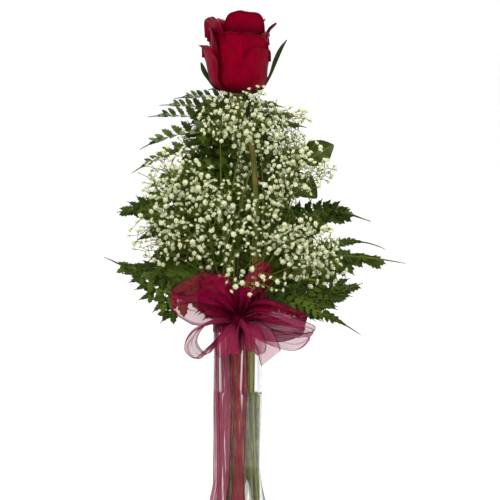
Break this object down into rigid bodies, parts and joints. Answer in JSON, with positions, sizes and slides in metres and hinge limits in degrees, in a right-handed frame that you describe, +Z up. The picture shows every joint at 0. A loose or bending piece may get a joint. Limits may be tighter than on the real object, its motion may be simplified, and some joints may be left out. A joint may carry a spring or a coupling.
{
  "type": "rose in a bud vase",
  "caption": "Half-open crimson rose in a slim clear glass bud vase of water, with fern fronds, sprays of baby's breath and a sheer burgundy ribbon bow tied round the neck.",
  "frame": {"origin": "centre of the vase's flat foot", "axes": "+Z up along the vase's axis, +X to the viewer's right, -Y towards the viewer, the side where the bow is tied"},
  "size_m": [0.2434, 0.1539, 0.4767],
  "materials": {
    "clear_glass": "clear blown glass, polished",
    "water_clear": "clear still water",
    "crimson_petal": "velvety matt petal",
    "stem_green": "satin green stem and leaf",
    "fern_green": "semi-gloss dark green leaf",
    "floret_cream": "matt cream petal on pale green stalks",
    "organza_burgundy": "sheer woven organza, soft sheen"
  },
  "bodies": {
    "root": {"vase": "clear_glass", "water": "water_clear", "rose_bloom": "crimson_petal", "rose_stem": "stem_green", "fern_frond_tall": "fern_green", "fern_frond_left": "fern_green", "fern_frond_low_left": "fern_green", "fern_frond_right": "fern_green", "fern_frond_low_right": "fern_green", "fern_frond_front_right": "fern_green", "fern_frond_back": "fern_green", "babys_breath_top": "floret_cream", "babys_breath_left": "floret_cream", "babys_breath_front": "floret_cream", "babys_breath_right": "floret_cream", "babys_breath_back": "floret_cream", "ribbon_bow": "organza_burgundy", "ribbon_tie": "organza_burgundy"}
  },
  "joints": []
}
